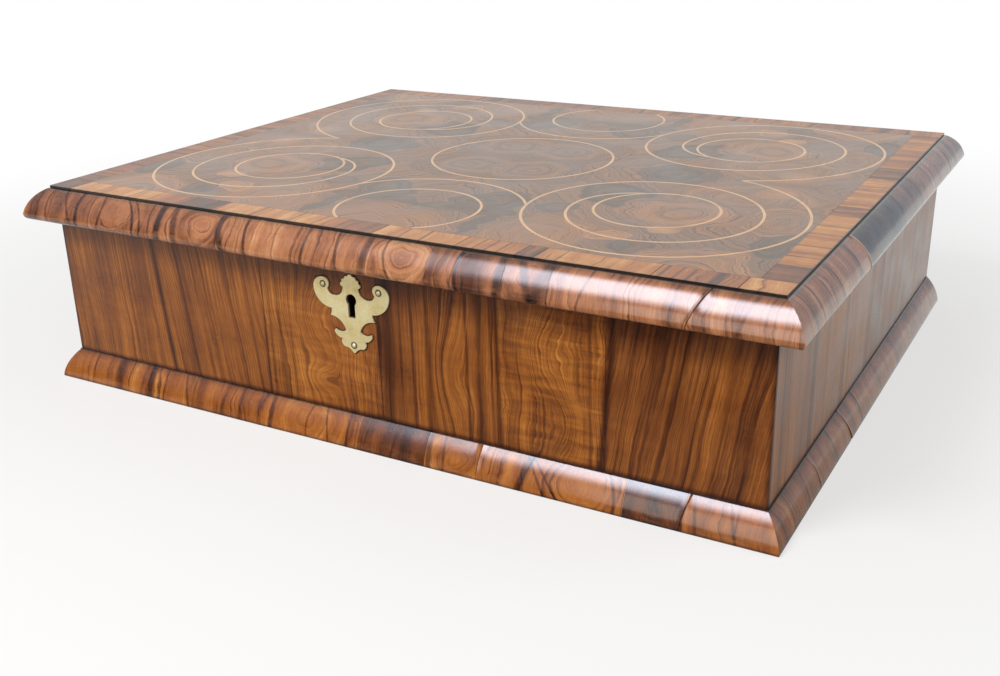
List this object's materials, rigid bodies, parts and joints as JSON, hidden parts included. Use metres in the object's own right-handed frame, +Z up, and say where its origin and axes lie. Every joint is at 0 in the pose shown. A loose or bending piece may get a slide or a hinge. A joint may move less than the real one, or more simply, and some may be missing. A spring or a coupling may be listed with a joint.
{
  "type": "veneered wooden box",
  "caption": "Low box with a hinged, moulded lid, line-inlaid oyster veneer on top, a cut brass key plate, a sliding lock bolt and a flat base.",
  "frame": {"origin": "on the resting plane, under the middle of the lid", "axes": "+Z up, +X to the right along the long side, front towards -Y, lid hinges towards +Y"},
  "size_m": [0.5604, 0.4578, 0.1452],
  "materials": {
    "softwood": "bare, aged",
    "leaf_veneer": "waxed",
    "cross_grain": "waxed, glossy",
    "crossbanding": "waxed",
    "oyster_veneer": "waxed",
    "boxwood": "waxed",
    "brass": "worn polish",
    "iron": "hand-forged, dark",
    "spring_steel": "dull"
  },
  "bodies": {
    "case": {"back_board": "softwood", "base_core_front": "softwood", "base_core_left": "softwood", "base_core_right": "softwood", "base_moulding_front": "cross_grain", "base_moulding_left": "cross_grain", "base_moulding_right": "cross_grain", "bolt_keeps": "iron", "bolt_spring": "spring_steel", "bottom_front_board": "softwood", "bottom_nails": "iron", "bottom_rear_board": "softwood", "front_board": "softwood", "front_veneer": "leaf_veneer", "hinge_lower_leaf_left": "iron", "hinge_lower_leaf_right": "iron", "hinge_lower_nails": "iron", "hinge_pin_left": "iron", "hinge_pin_right": "iron", "key_plate": "brass", "key_plate_pins": "brass", "left_board": "softwood", "left_veneer": "leaf_veneer", "lock_nails": "iron", "lock_plate": "iron", "lock_wards": "iron", "right_board": "softwood", "right_veneer": "leaf_veneer"},
    "lid": {"crossband_back": "crossbanding", "crossband_front": "crossbanding", "crossband_left": "crossbanding", "crossband_right": "crossbanding", "hinge_upper_leaf_left": "iron", "hinge_upper_leaf_right": "iron", "hinge_upper_nails": "iron", "lid_core_back": "softwood", "lid_core_front": "softwood", "lid_core_left": "softwood", "lid_core_right": "softwood", "lid_front_plank": "softwood", "lid_middle_plank": "softwood", "lid_moulding_back": "cross_grain", "lid_moulding_front": "cross_grain", "lid_moulding_left": "cross_grain", "lid_moulding_right": "cross_grain", "lid_rear_plank": "softwood", "link_nails": "iron", "link_plate": "iron", "oyster_field": "oyster_veneer", "staple": "iron", "stringing_bays": "boxwood", "stringing_links": "boxwood", "stringing_rings": "boxwood", "stringing_scrolls": "boxwood"},
    "bolt": {"lock_bolt": "iron"}
  },
  "joints": [
    {"name": "lid_hinge", "type": "hinge", "parent": "case", "child": "lid", "pos_m": [0, 0.2249, 0.1263], "axis": [-1, 0, 0], "range_deg": [0, 100]},
    {"name": "bolt_slide", "type": "slide", "parent": "case", "child": "bolt", "axis": [1, 0, 0], "range_m": [0, 0.009]}
  ]
}
